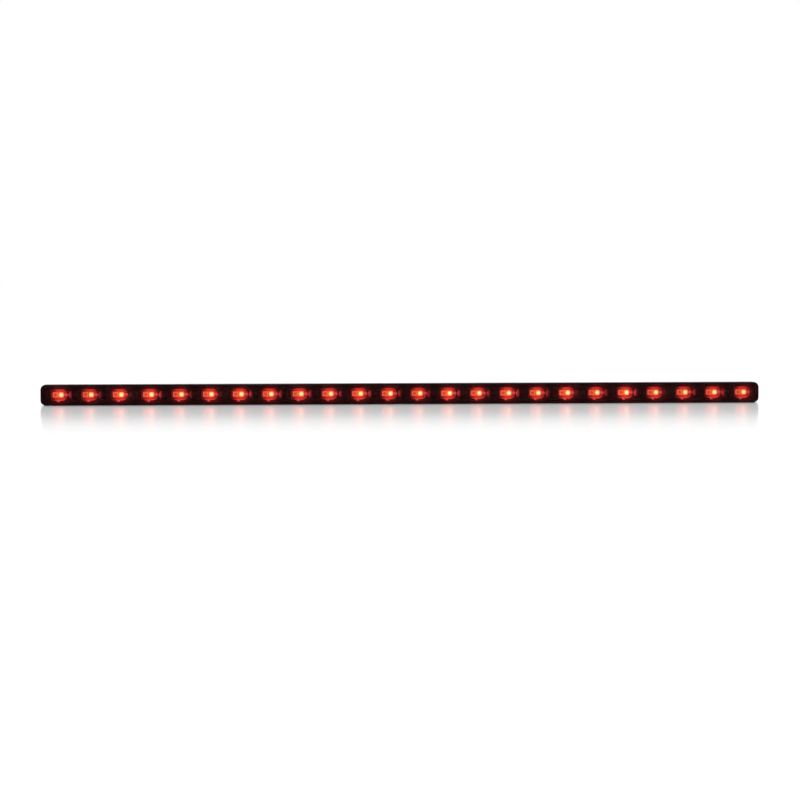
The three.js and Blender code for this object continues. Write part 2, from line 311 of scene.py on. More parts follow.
class Surface:
    """A node material with one Principled shader, and the recipes that the pieces share."""

    def __init__(self, name, colour, roughness, **sockets):
        self.material = bpy.data.materials.new(name)
        self.material.use_nodes = True
        self.nodes = self.material.node_tree.nodes
        self.links = self.material.node_tree.links
        self.shader = self.nodes["Principled BSDF"]
        self.place = self.node("ShaderNodeTexCoord")
        self.colour = colour
        self.set("Base Color", (*colour, 1))
        self.set("Roughness", roughness)
        for socket, value in sockets.items():
            self.set(socket.replace("_", " "), value)

    def set(self, socket, value):
        self.shader.inputs[socket].default_value = value

    def node(self, kind, inputs=(), **settings):
        """A node with these settings, its first inputs linked or set in order."""
        made = self.nodes.new(kind)
        for setting, value in settings.items():
            setattr(made, setting, value)
        for i, value in enumerate(inputs):
            self.feed(made.inputs[i], value)
        return made

    def feed(self, socket, value):
        if isinstance(value, bpy.types.NodeSocket):
            self.links.new(value, socket)
        elif value is not None:
            socket.default_value = value

    def math(self, operation, *inputs):
        return self.node("ShaderNodeMath", inputs, operation=operation).outputs[0]

    def vector(self, operation, *inputs, output=0):
        return self.node("ShaderNodeVectorMath", inputs, operation=operation).outputs[output]

    def noise(self, scale, detail=3.0, stretch=(1, 1, 1)):
        """Noise in the row frame. The scale counts features per metre."""
        where = self.vector("MULTIPLY", self.place.outputs["Object"], stretch)
        texture = self.node("ShaderNodeTexNoise")
        self.feed(texture.inputs["Vector"], where)
        self.feed(texture.inputs["Scale"], scale)
        self.feed(texture.inputs["Detail"], detail)
        return texture.outputs["Fac"]

    def spread(self, value, low, high):
        """Maps a noise's usual range to low..high."""
        made = self.node("ShaderNodeMapRange")
        self.feed(made.inputs["Value"], value)
        self.feed(made.inputs["From Min"], NOISE_RANGE[0])
        self.feed(made.inputs["From Max"], NOISE_RANGE[1])
        self.feed(made.inputs["To Min"], low)
        self.feed(made.inputs["To Max"], high)
        return made.outputs["Result"]

    def mix(self, share, first, second):
        """Mixes two colours. The Mix node has several sockets of each name, so they are taken by number."""
        made = self.node("ShaderNodeMix", data_type="RGBA")
        self.feed(made.inputs["Factor"], share)
        self.feed(made.inputs[6], first)
        self.feed(made.inputs[7], second)
        return made.outputs[2]

    def vary(self, scale, other, roughness, stretch=(1, 1, 1)):
        """Drifts the colour towards another, and the roughness over a range."""
        share = self.spread(self.noise(scale, stretch=stretch), 0.0, 1.0)
        mixed = self.mix(share, (*self.colour, 1), (*other, 1))
        self.links.new(mixed, self.shader.inputs["Base Color"])
        fine = self.spread(self.noise(scale * FINER, stretch=stretch), *roughness)
        self.links.new(fine, self.shader.inputs["Roughness"])
        return self

    def grain(self, scale, depth, strength=0.4):
        """Fine moulded texture. Its depth is in millimetres."""
        bump = self.node("ShaderNodeBump")
        self.feed(bump.inputs["Strength"], strength)
        self.feed(bump.inputs["Distance"], depth * MM)
        self.feed(bump.inputs["Height"], self.noise(scale, detail=4.0))
        self.links.new(bump.outputs["Normal"], self.shader.inputs["Normal"])
        return self

    def ramp(self, share, stops):
        """Colours against a share from 0 to 1, with stops of (share, (r, g, b)) in linear light."""
        made = self.node("ShaderNodeValToRGB")
        self.feed(made.inputs[0], share)
        elements = made.color_ramp.elements
        while len(elements) < len(stops):
            elements.new(1.0)
        for element, (position, colour) in zip(elements, stops):
            element.position = position
            element.color = (*colour, 1)
        return made.outputs["Color"]

    def nearest_led(self, shift):
        """The offset from the surface to the nearest lit LED, or to a point that lies beside it by the shift,
        and that LED's number, from 0."""
        here = self.place.outputs["Object"]
        x = self.node("ShaderNodeSeparateXYZ", [here]).outputs["X"]
        first = (LIT[0].middle.x + shift) * MM
        steps = self.math("DIVIDE", self.math("SUBTRACT", x, first), PITCH * MM)
        number = self.math("MINIMUM", self.math("MAXIMUM", self.math("ROUND", steps), 0.0), CELLS - 1.0)
        led_x = self.math("ADD", self.math("MULTIPLY", number, PITCH * MM), first)
        led = self.node("ShaderNodeCombineXYZ", [led_x, LED_POINT_Y * MM, LIT[0].middle.z * MM]).outputs[0]
        return self.vector("SUBTRACT", led, here), number

    def glow(self, strength, stops, ambient, sharpness=1.0, lean=0.0, shift=0.0, variation=(0.93, 1.04)):
        """Light that falls on the surface from the nearest lit LED. The stops give its colour against the
        distance in millimetres, and ambient is the share that reaches faces turned away from the LED. Lean is
        how much brighter faces that look up are than those that look down, shift is how far from the LED the
        light's middle lies, and variation is how much the LEDs differ. Faces that look back stay dark."""
        offset, number = self.nearest_led(shift)
        distance = self.vector("LENGTH", offset, output=1)
        share = self.math("DIVIDE", distance, GLOW_REACH * MM)
        colour = self.ramp(share, [(d / GLOW_REACH, rgb) for d, rgb in stops])
        direction = self.vector("NORMALIZE", offset)
        facing = self.vector("DOT_PRODUCT", direction, self.place.outputs["Normal"], output=1)
        facing = self.math("POWER", self.math("MAXIMUM", facing, 0.0), sharpness)
        lit = self.math("ADD", self.math("MULTIPLY", facing, 1.0 - ambient), ambient)
        normal = self.node("ShaderNodeSeparateXYZ", [self.place.outputs["Normal"]]).outputs
        lit = self.math("MULTIPLY", lit, self.math("LESS_THAN", normal["Y"], FACES_BACK))
        lit = self.math("MULTIPLY", lit, self.math("MULTIPLY_ADD", normal["Z"], lean, 1.0))
        chance = self.node("ShaderNodeTexWhiteNoise", noise_dimensions="1D")
        self.feed(chance.inputs["W"], number)
        lit = self.math("MULTIPLY", lit, self.spread(chance.outputs["Value"], *variation))
        self.links.new(self.vector("SCALE", colour, None, None, lit), self.shader.inputs["Emission Color"])
        self.set("Emission Strength", strength)
        return self


SCATTER_SHIFT = -1.0  # the unlit twin scatters light too, so the glow's middle lies towards it
LENS_ALPHA = 0.26
THROUGH_LENS = 1 / (1 - LENS_ALPHA) ** 2  # what makes up for the smoke of the lens's two faces

housing_plastic = Surface("housing_plastic", (0.017, 0.016, 0.0165), 0.5, Specular_IOR_Level=0.2)
housing_plastic.vary(120, (0.026, 0.024, 0.025), (0.44, 0.58), stretch=(0.2, 1, 1))
housing_plastic.grain(3600, 0.05, strength=0.6)

# A darker, less glossy copy of the housing plastic for the front faces: painted shade. RIM_GLOW adds painted
# light from the nearest LED.
rim_painted_shade_plastic = Surface("rim_painted_shade_plastic", (0.0035, 0.0028, 0.003), 0.3, Specular_IOR_Level=0.04)
rim_painted_shade_plastic.vary(120, (0.006, 0.0045, 0.005), (0.26, 0.36), stretch=(0.2, 1, 1))
RIM_GLOW = [
    (0, (0.5, 0.02, 0.02)),
    (5.5, (0.03, 0.0012, 0.0012)),
    (8, (0.012, 0.0008, 0.0008)),
    (14, (0, 0, 0)),
]
rim_painted_shade_plastic.glow(1.0, RIM_GLOW, ambient=0.8, shift=SCATTER_SHIFT)

stake_plastic = Surface("stake_plastic", (0.004, 0.003, 0.0034), 0.30, Specular_IOR_Level=0.1)
stake_plastic.vary(300, (0.007, 0.005, 0.006), (0.26, 0.36))
STAKE_GLOW = [
    (0, (0.9, 0.2, 0.1)),
    (4.4, (0.84, 0.045, 0.06)),
    (5.4, (0.64, 0.034, 0.05)),
    (6.8, (0.24, 0.014, 0.022)),
    (8, (0.03, 0.003, 0.004)),
    (10, (0, 0, 0)),
]
stake_plastic.glow(THROUGH_LENS, STAKE_GLOW, ambient=0.02, sharpness=0.8, variation=(0.6, 1.3))

reflector_plastic = Surface("reflector_plastic", (0.004, 0.003, 0.0034), 0.35, Specular_IOR_Level=0.1)
reflector_plastic.vary(260, (0.007, 0.005, 0.006), (0.30, 0.42))
REFLECTOR_GLOW = [
    (0, (0.7, 0.1, 0.04)),
    (3.0, (0.7, 0.042, 0.034)),
    (3.7, (0.76, 0.042, 0.036)),
    (4.2, (0.5, 0.027, 0.025)),
    (4.6, (0.24, 0.013, 0.013)),
    (5.0, (0.11, 0.007, 0.007)),
    (5.6, (0.05, 0.003, 0.003)),
    (6.5, (0.03, 0.0015, 0.0015)),
    (14, (0.004, 0.0003, 0.0003)),
]
reflector_plastic.glow(
    THROUGH_LENS, REFLECTOR_GLOW, ambient=0.02, sharpness=1.3, lean=0.2, shift=SCATTER_SHIFT
)

board_mask = Surface("board_mask", (0.006, 0.005, 0.0055), 0.35, Specular_IOR_Level=0.1)
board_mask.vary(180, (0.010, 0.008, 0.009), (0.28, 0.42), stretch=(0.4, 1, 1))
BOARD_GLOW = [
    (0, (0.9, 0.1, 0.03)),
    (2.6, (0.62, 0.04, 0.014)),
    (3.4, (0.56, 0.018, 0.008)),
    (3.8, (0.45, 0.011, 0.007)),
    (4.2, (0.28, 0.006, 0.005)),
    (4.6, (0.16, 0.004, 0.004)),
    (5.0, (0.09, 0.003, 0.003)),
    (5.5, (0.035, 0.0015, 0.0015)),
    (6.5, (0.005, 0.0003, 0.0003)),
]
board_mask.glow(THROUGH_LENS, BOARD_GLOW, ambient=0.95, shift=SCATTER_SHIFT)

lit_body = Surface("lit_body", (0.16, 0.09, 0.07), 0.45, Specular_IOR_Level=0.2)
lit_body.vary(900, (0.20, 0.12, 0.09), (0.40, 0.50))
LIT_BODY_GLOW = [
    (0, (0.95, 0.6, 0.2)),
    (1.2, (0.95, 0.46, 0.17)),
    (1.6, (0.84, 0.2, 0.07)),
    (1.9, (0.74, 0.11, 0.04)),
    (2.3, (0.68, 0.07, 0.026)),
    (4, (0.5, 0.03, 0.02)),
]
lit_body.glow(THROUGH_LENS, LIT_BODY_GLOW, ambient=0.95)

dark_body = Surface("dark_body", (0.16, 0.09, 0.07), 0.45, Specular_IOR_Level=0.2)
dark_body.vary(900, (0.20, 0.12, 0.09), (0.40, 0.50))
DARK_BODY_GLOW = [
    (0, (0.9, 0.25, 0.06)),
    (1.6, (0.86, 0.2, 0.048)),
    (2.2, (0.86, 0.13, 0.03)),
    (3.6, (0.84, 0.095, 0.03)),
    (4.6, (0.82, 0.11, 0.056)),
    (5.3, (0.62, 0.075, 0.05)),
    (7, (0.3, 0.02, 0.015)),
]
dark_body.glow(THROUGH_LENS, DARK_BODY_GLOW, ambient=0.95)

dark_cup = Surface("dark_cup", (0.12, 0.06, 0.05), 0.35, Specular_IOR_Level=0.2)
dark_cup.vary(1200, (0.16, 0.08, 0.06), (0.28, 0.42))
DARK_CUP_GLOW = [
    (0, (0.85, 0.10, 0.02)),
    (2.5, (0.85, 0.09, 0.02)),
    (4.0, (0.8, 0.070, 0.018)),
    (6, (0.74, 0.06, 0.02)),
]
dark_cup.glow(THROUGH_LENS, DARK_CUP_GLOW, ambient=0.9)

led_core = Surface("led_core", (0.5, 0.3, 0.15), 0.25, Specular_IOR_Level=0.2)
led_core.vary(900, (0.55, 0.35, 0.2), (0.2, 0.3))
LED_CORE_GLOW = [
    (0, (1.0, 0.92, 0.37)),
    (0.6, (1.0, 0.86, 0.34)),
    (1.0, (0.98, 0.62, 0.23)),
    (1.3, (0.94, 0.42, 0.15)),
    (2.0, (0.8, 0.15, 0.05)),
]
led_core.glow(THROUGH_LENS, LED_CORE_GLOW, ambient=1.0)

led_die = Surface("led_die", (0.05, 0.02, 0.015), 0.3, Metallic=0.4)
led_die.vary(4000, (0.08, 0.04, 0.03), (0.25, 0.4))
DIE_GLOW = [
    (0, (0.7, 0.05, 0.02)),
    (4, (0.66, 0.038, 0.013)),
    (8, (0.3, 0.01, 0.008)),
]
led_die.glow(THROUGH_LENS, DIE_GLOW, ambient=1.0)

tinned_metal = Surface("tinned_metal", (0.09, 0.085, 0.08), 0.32, Metallic=1.0)
tinned_metal.vary(800, (0.13, 0.12, 0.115), (0.25, 0.42))
METAL_GLOW = [
    (0, (0.9, 0.2, 0.08)),
    (2.2, (0.6, 0.05, 0.022)),
    (3.2, (0.4, 0.02, 0.012)),
    (4.5, (0.2, 0.007, 0.006)),
    (5.5, (0.06, 0.003, 0.003)),
    (7, (0.01, 0.0005, 0.0005)),
]
tinned_metal.glow(THROUGH_LENS, METAL_GLOW, ambient=0.6)

pad_solder = Surface("pad_solder", (0.09, 0.085, 0.08), 0.35, Metallic=1.0)
pad_solder.vary(900, (0.13, 0.12, 0.115), (0.28, 0.45))
PAD_GLOW = [
    (0, (0.9, 0.2, 0.1)),
    (4, (0.76, 0.066, 0.06)),
    (5, (0.6, 0.05, 0.05)),
    (7, (0.1, 0.005, 0.005)),
]
pad_solder.glow(THROUGH_LENS, PAD_GLOW, ambient=0.9)

track_solder = Surface("track_solder", (0.09, 0.085, 0.08), 0.35, Metallic=1.0)
track_solder.vary(700, (0.13, 0.12, 0.115), (0.28, 0.45), stretch=(0.4, 1, 1))
TRACK_GLOW = [
    (0, (0.9, 0.2, 0.1)),
    (2.4, (0.56, 0.04, 0.03)),
    (3.6, (0.52, 0.032, 0.03)),
    (4.4, (0.46, 0.028, 0.03)),
    (5.2, (0.32, 0.018, 0.02)),
    (7, (0.02, 0.001, 0.001)),
]
track_solder.glow(THROUGH_LENS, TRACK_GLOW, ambient=0.9)

chip_epoxy = Surface("chip_epoxy", (0.012, 0.011, 0.012), 0.5, Specular_IOR_Level=0.15)
chip_epoxy.vary(900, (0.018, 0.016, 0.017), (0.42, 0.58)).grain(9000, 0.01)
CHIP_GLOW = [
    (0, (0.6, 0.05, 0.03)),
    (4, (0.20, 0.008, 0.008)),
    (8, (0.03, 0.001, 0.001)),
    (12, (0, 0, 0)),
]
chip_epoxy.glow(THROUGH_LENS, CHIP_GLOW, ambient=0.05)

resistor_body = Surface("resistor_body", (0.01, 0.01, 0.011), 0.35, Specular_IOR_Level=0.2)
resistor_body.vary(1500, (0.016, 0.016, 0.018), (0.3, 0.45))
RESISTOR_GLOW = [
    (0, (0.7, 0.05, 0.03)),
    (3, (0.30, 0.012, 0.010)),
    (6, (0.08, 0.003, 0.003)),
]
resistor_body.glow(THROUGH_LENS, RESISTOR_GLOW, ambient=0.6)

seal_rubber = Surface("seal_rubber", (0.006, 0.005, 0.0055), 0.6, Specular_IOR_Level=0.1)
seal_rubber.vary(400, (0.009, 0.0075, 0.008), (0.55, 0.7))

grommet_rubber = Surface("grommet_rubber", (0.020, 0.020, 0.021), 0.62, Specular_IOR_Level=0.35)
grommet_rubber.vary(700, (0.032, 0.032, 0.033), (0.55, 0.7)).grain(6000, 0.02)

foam = Surface("foam", (0.045, 0.046, 0.049), 0.9)
foam.vary(500, (0.066, 0.067, 0.071), (0.85, 0.95)).grain(3200, 0.12, strength=0.7)

smoked_lens = Surface("smoked_lens", (0.004, 0.0012, 0.0014), 0.06, Specular_IOR_Level=0.04, Alpha=LENS_ALPHA)
smoked_lens.vary(60, (0.006, 0.0016, 0.0018), (0.05, 0.08), stretch=(0.3, 1, 1))
# Painted halo of LED light in the smoked lens, laid on as emission.
LENS_PAINTED_HALO = [
    (0, (0.3, 0.025, 0.018)),
    (3.4, (0.22, 0.012, 0.01)),
    (4.5, (0.17, 0.0065, 0.0065)),
    (5.4, (0.11, 0.004, 0.004)),
    (6.2, (0.065, 0.003, 0.003)),
    (6.9, (0.04, 0.0024, 0.0024)),
    (9.5, (0.018, 0.0018, 0.0019)),
    (14, (0.01, 0.0015, 0.0016)),
]
smoked_lens.glow(1.0, LENS_PAINTED_HALO, ambient=1.0, shift=0.3 * SCATTER_SHIFT)

clear_dome = Surface("clear_dome", (0.3, 0.15, 0.1), 0.08, Specular_IOR_Level=0.3, Alpha=0.12)
clear_dome.vary(500, (0.35, 0.2, 0.12), (0.06, 0.12))

# ---- Housing ----


def plan(box, y, inset=0.0, corner=CORNER):
    """A ring's outline and its y: the box's front view, moved inwards all round."""
    radius = max(corner - inset, SMALLEST_CORNER)
    return rounded_rectangle(box.half.x - inset, box.half.z - inset, radius), y


def rings_of(mesh, stations):
    return [add_ring(mesh, outline, y) for outline, y in stations]


def rounded_edge(box, y, radius, corner, towards, steps=4):
    """Stations that round an outer edge off. They run from the flat face at y to the side wall."""
    return [
        plan(box, y + towards * radius * (1 - c), radius * (1 - s), corner)
        for c, s in arc(steps, 0, 90)
    ]


def housing_shell():
    """Tub with a rounded rim, a ledge for the seal and a hole for the grommet."""
    back = HOUSING.high.y
    front = HOUSING.low.y
    ledge = SEAL.high.y + SEAT
    floor = back - BACK_WALL
    outer = rounded_edge(HOUSING, back, EDGE, CORNER, -1)
    outer += list(reversed(rounded_edge(HOUSING, front, EDGE, CORNER, 1)))
    inner = [
        plan(HOUSING, front, RIM - FILLET),
        plan(HOUSING, front + FILLET * FILLET_MIDDLE, RIM - FILLET * FILLET_MIDDLE),
        plan(HOUSING, front + FILLET, RIM),
        plan(HOUSING, ledge, RIM),
        plan(HOUSING, ledge, RIM + LEDGE - FILLET),
        plan(HOUSING, ledge + FILLET, RIM + LEDGE),
        plan(HOUSING, floor - FILLET, RIM + LEDGE),
        plan(HOUSING, floor, RIM + LEDGE + FILLET),
    ]
    mesh = new_mesh()
    faces = add_loft(mesh, rings_of(mesh, outer + inner))
    # Faces at the front take the second material, the darker copy of the housing plastic, which is painted
    # shade.
    for face in faces:
        if face.calc_center_median().y < front + EDGE:
            face.material_index = 1
    piece = to_object(mesh, "housing_shell", [housing_plastic, rim_painted_shade_plastic])
    hole = new_mesh()
    neck = GROMMET_NECK + SEAT
    start = back + CUT_PAST
    end = floor - CUT_PAST
    centre = (GROMMET.middle.x, GROMMET.middle.z)
    add_turned(hole, [(0, start), (neck, start), (neck, end), (0, end)], centre, TURNED_STEPS)
    cut(piece, hole)
    return piece


def stake_profile(radius, height):
    """Half section of a heat stake: shoulder under the board, pin through it, head over the reflector."""
    root = HOUSING.high.y - BACK_WALL + STAKE_ROOT
    shoulder = BOARD.high.y + SEAT
    seat = REFLECTOR.low.y - SEAT
    cap = height - STAKE_HEAD_RIM
    sphere = (radius**2 + cap**2) / (2 * cap)
    edge_angle = math.degrees(math.acos(radius / sphere))
    dome = [(sphere * c, seat - height + sphere * (1 - s)) for c, s in arc(9, edge_angle, 90)]
    return [
        (0, root),
        (STAKE_SHOULDER, root),
        (STAKE_SHOULDER, shoulder),
        (STAKE_PIN, shoulder),
        (STAKE_PIN, seat),
        (radius - STAKE_HEAD_BEVEL, seat),
        (radius, seat - STAKE_HEAD_BEVEL),
        *dome[:-1],
        (0, seat - height),
    ]


def heat_stakes():
    """Stakes moulded with the housing. Their melted heads differ a little in width, height and place."""
    rng = random.Random(5)
    mesh = new_mesh()
    for x in STAKE_X:
        radius = STAKE_HEAD * rng.uniform(*STAKE_WIDTHS)
        height = STAKE_HEAD_HEIGHT * rng.uniform(*STAKE_HEIGHTS)
        drift_x, drift_z = [rng.uniform(-most, most) for most in STAKE_DRIFT]
        centre = (x + drift_x, drift_z)
        add_turned(mesh, stake_profile(radius, height), centre, 40)
    return to_object(mesh, "heat_stakes", [stake_plastic])


add_piece(housing_shell(), "housing_plastic", "housing")
add_piece(heat_stakes(), "housing_plastic")

# ---- Lens and its seal ----


def lens_cover():
    """Clear cover with a rounded edge and a slight crown."""
    corner = CORNER - RIM
    face = LENS.low.y
    width = LENS.half.z - LENS_EDGE - LENS_FLAT
    crown = [
        plan(LENS, face + LENS_CROWN * (1 - share) ** 2, LENS_EDGE + share * width, corner)
        for share in (0.0, 0.12, 0.28, 0.5, 0.75, 1.0)
    ]
    stations = list(reversed(crown))
    stations += rounded_edge(LENS, face + LENS_CROWN, LENS_EDGE, corner, 1, steps=5)[1:]
    stations += list(reversed(rounded_edge(LENS, LENS.high.y, LENS_BACK_EDGE, corner, -1, steps=2)))
    mesh = new_mesh()
    add_loft(mesh, rings_of(mesh, stations))
    return to_object(mesh, "lens_cover", [smoked_lens])


def seal_bead():
    """Flattened bead of sealant between the ledge and the lens."""
    corner = CORNER - RIM
    stations = [
        plan(SEAL, SEAL.middle.y + SEAL.half.y * s, LEDGE / 2 - LEDGE / 2 * c, corner)
        for c, s in arc(12, 0, 330)
    ]
    mesh = new_mesh()
    add_loft(mesh, rings_of(mesh, stations), closed=True)
    return to_object(mesh, "seal_bead", [seal_rubber])


add_piece(lens_cover(), "smoked_lens", "lens")
add_piece(seal_bead(), "seal_rubber", "lens_seal")

# ---- Reflector ----


def window_outline(grow):
    """A window's front view, with its keying notch below and its pointed end. It is grown outwards all round,
    and its small features grow less."""
    half_x = WINDOW_HALF[0] + grow
    half_z = WINDOW_HALF[1] + grow
    corner = WINDOW_CORNER + grow * 0.5
    lit_corner = WINDOW_LIT_CORNER + grow
    left = WINDOW_OFFSET - half_x + corner
    right = WINDOW_OFFSET + half_x - lit_corner
    nose_half = NOSE_HALF + grow * 0.3
    nose_tip = WINDOW_OFFSET + WINDOW_HALF[0] + NOSE_REACH + grow * 0.3
    nose_angle = math.degrees(math.asin((nose_half - half_z + lit_corner) / lit_corner))
    notch_half = NOTCH_HALF_WIDTH + grow * 0.35
    notch_end = -WINDOW_HALF[1] - NOTCH_REACH - grow * 0.1
    return [
        *arc_about((right, half_z - lit_corner), lit_corner, nose_angle, 90),
        *arc_about((left, half_z - corner), corner, 90, 180),
        *arc_about((left, corner - half_z), corner, 180, 270),
        (-notch_half, -half_z),
        (-notch_half, notch_end + NOTCH_CORNER),
        (-notch_half + NOTCH_CORNER, notch_end),
        (notch_half - NOTCH_CORNER, notch_end),
        (notch_half, notch_end + NOTCH_CORNER),
        (notch_half, -half_z),
        *arc_about((right, lit_corner - half_z), lit_corner, 270, 360 - nose_angle),
        (nose_tip - NOSE_BLUNT[0], -NOSE_BLUNT[1]),
        (nose_tip, 0),
        (nose_tip - NOSE_BLUNT[0], NOSE_BLUNT[1]),
    ]


def reflector_strip():
    """Strip with a flared window for each pair of LEDs, and holes for the drivers and the stakes."""
    edge = 0.15
    back = REFLECTOR.high.y
    front = REFLECTOR.low.y
    start = back + CUT_PAST
    end = front - CUT_PAST
    stations = rounded_edge(REFLECTOR, back, edge, INSERT_CORNER, -1, steps=2)
    stations += list(reversed(rounded_edge(REFLECTOR, front, edge, INSERT_CORNER, 1, steps=2)))
    mesh = new_mesh()
    add_loft(mesh, rings_of(mesh, stations))
    piece = to_object(mesh, "reflector_strip", [reflector_plastic])
    holes = new_mesh()
    flare = [(0.0, start), (0.0, back - 0.35), (0.75, front + 0.14), (1.0, front), (1.2, end)]
    for x in CELL_X:
        rings = [
            add_ring(holes, window_outline(share * WINDOW_FLARE), y, (x, -share * WINDOW_DROP))
            for share, y in flare
        ]
        add_loft(holes, rings)
    for driver in DRIVERS:
        half_x = driver.half.x + DRIVER_WINDOW_GAP
        half_z = driver.half.z + DRIVER_WINDOW_GAP
        outline = rounded_rectangle(half_x, half_z, DRIVER_WINDOW_CORNER, steps=4)
        add_loft(holes, [add_ring(holes, outline, y, (driver.middle.x, 0)) for y in (start, end)])
    for x in STAKE_X:
        add_turned(holes, [(0, start), (STAKE_HOLE, start), (STAKE_HOLE, end), (0, end)], (x, 0))
    cut(piece, holes)
    return piece


add_piece(reflector_strip(), "reflector_plastic", "reflector")

# ---- LEDs ----


def led_mesh(x, back):
    """One package: body with a moulded cup, solder leads, die and dome. The materials are 0 body, 1 cup or
    core, 2 dome, 3 leads and 4 die."""
    mesh = new_mesh()
    half = LED_SIDE / 2
    front = back - LED_BODY_HEIGHT
    floor = front + LED_CUP_DEPTH
    # Inset, corner and y of the body's outlines, from its base to its front edge.
    levels = ((0.05, 0.22, back), (0.0, 0.25, back - 0.4), (0.12, 0.2, front + 0.1))
    outlines = [
        (rounded_rectangle(half - inset, half - inset, corner, steps=7), y)
        for inset, corner, y in levels
    ]
    bevel = outlines[-1][0]
    count = len(bevel)
    softening = 0.985
    outlines.append(([(u * softening, v * softening) for u, v in bevel], front))
    outside = [add_ring(mesh, outline, y, (x, 0)) for outline, y in outlines]
    lip = add_ring(mesh, circle(LED_CUP + 0.06, count), front, (x, 0))
    mouth = add_ring(mesh, circle(LED_CUP, count), front + 0.06, (x, 0))
    bottom = add_ring(mesh, circle(LED_CUP - 0.28, count), floor, (x, 0))
    body = add_loft(mesh, outside + [lip, mouth, bottom])
    for face in body:
        inside = all(v in mouth or v in bottom for v in face.verts)
        face.material_index = 1 if inside else 0
    for side in (-1, 1):
        edge = side * LED_REACH
        low_z, high_z = sorted((side * (half - 0.4), edge))
        low = (x - LED_PAD_HALF, back - 0.22, low_z)
        high = (x + LED_PAD_HALF, back, high_z)
        add_block(mesh, low, high, 0.05, material=3)
        profile = [(side * (half - 0.02), back - 0.6), (side * (half + 0.12), back - 0.25), (edge, back)]
        profile += [(side * (half - 0.3), back), (side * (half - 0.3), back - 0.6)]
        ends = [
            [mesh.verts.new((x + end, y, z)) for z, y in profile]
            for end in (-LED_LEAD_HALF, LED_LEAD_HALF)
        ]
        add_loft(mesh, ends, material=3)
    low = (x - LED_DIE_HALF, floor - 0.2, -LED_DIE_HALF)
    high = (x + LED_DIE_HALF, floor - 0.02, LED_DIE_HALF)
    add_block(mesh, low, high, 0.03, material=4)
    dome = [(0, floor - 0.25), (LED_CUP - 0.26, floor - 0.25), (LED_CUP - 0.03, front + 0.05)]
    dome += [(LED_CUP * c, front - LED_DOME * s) for c, s in arc(7, 6, 84)]
    add_turned(mesh, dome + [(0, front - LED_DOME)], (x, 0), material=2)
    return mesh


LIT_MATERIALS = [lit_body, led_core, led_core, tinned_metal, led_core]
DARK_MATERIALS = [dark_body, dark_cup, clear_dome, tinned_metal, led_die]

for name, lit, dark in zip(LED_NAMES, LIT, DARK):
    number = name.rsplit("_", 1)[1]
    piece = to_object(led_mesh(lit.middle.x, lit.high.y), f"brake_led_{number}_package", LIT_MATERIALS)
    add_piece(piece, "lit_led", name)
    piece = to_object(led_mesh(dark.middle.x, dark.high.y), f"running_led_{number}_package", DARK_MATERIALS)
    add_piece(piece, "unlit_led", name.replace("brake", "running"))

# ---- Circuit board, drivers and small parts ----


def chip_resistors():
    """One small resistor above each unlit LED, with its end caps."""
    mesh = new_mesh()
    surface = BOARD.low.y
    z = WINDOW_HALF[1] - RESISTOR_DROP
    half_x, height, half_z = RESISTOR_BODY
    cap_start, cap_end, cap_height, cap_half_z = RESISTOR_CAP
    for dark in DARK:
        x = dark.middle.x
        low = (x - half_x, surface - height, z - half_z)
        high = (x + half_x, surface - RESISTOR_LIFT, z + half_z)
        add_block(mesh, low, high, 0.03, material=0)
        for side in (-1, 1):
            low_x, high_x = sorted((x + side * cap_start, x + side * cap_end))
            low = (low_x, surface - cap_height, z - cap_half_z)
            high = (high_x, surface, z + cap_half_z)
            add_block(mesh, low, high, 0.05, material=1)
    return to_object(mesh, "chip_resistors", [resistor_body, tinned_metal])


def solder_tracks():
    """A tinned track on the board from beside each lit LED to the point of its window."""
    mesh = new_mesh()
    surface = BOARD.low.y
    half_z = 0.8
    corner = 0.3
    gap = 0.1
    past_nose = 0.3
    levels = ((0.0, 0.0), (0.03, 0.06), (0.2, 0.12))  # inset and height
    for x, lit in zip(CELL_X, LIT):
        start = lit.high.x + gap
        end = x + WINDOW_OFFSET + WINDOW_HALF[0] + NOSE_REACH + past_nose
        half_x = (end - start) / 2
        centre = ((start + end) / 2, 0)
        rings = []
        for inset, height in levels:
            outline = rounded_rectangle(half_x - inset, half_z - inset, corner, steps=3)
            rings.append(add_ring(mesh, outline, surface - height, centre))
        add_loft(mesh, rings)
    return to_object(mesh, "solder_tracks", [track_solder])


def test_pads():
    """A domed solder pad on the board behind each window's notch."""
    mesh = new_mesh()
    surface = BOARD.low.y
    below_window = 0.7
    z = -WINDOW_HALF[1] - below_window
    corner = 0.25
    levels = ((0.75, 0.5, 0.0), (0.72, 0.47, 0.08), (0.45, 0.2, 0.16))  # half sizes and height
    for x in CELL_X:
        rings = [
            add_ring(mesh, rounded_rectangle(half_x, half_z, corner, steps=3), surface - height, (x, z))
            for half_x, half_z, height in levels
        ]
        add_loft(mesh, rings)
    return to_object(mesh, "test_pads", [pad_solder])


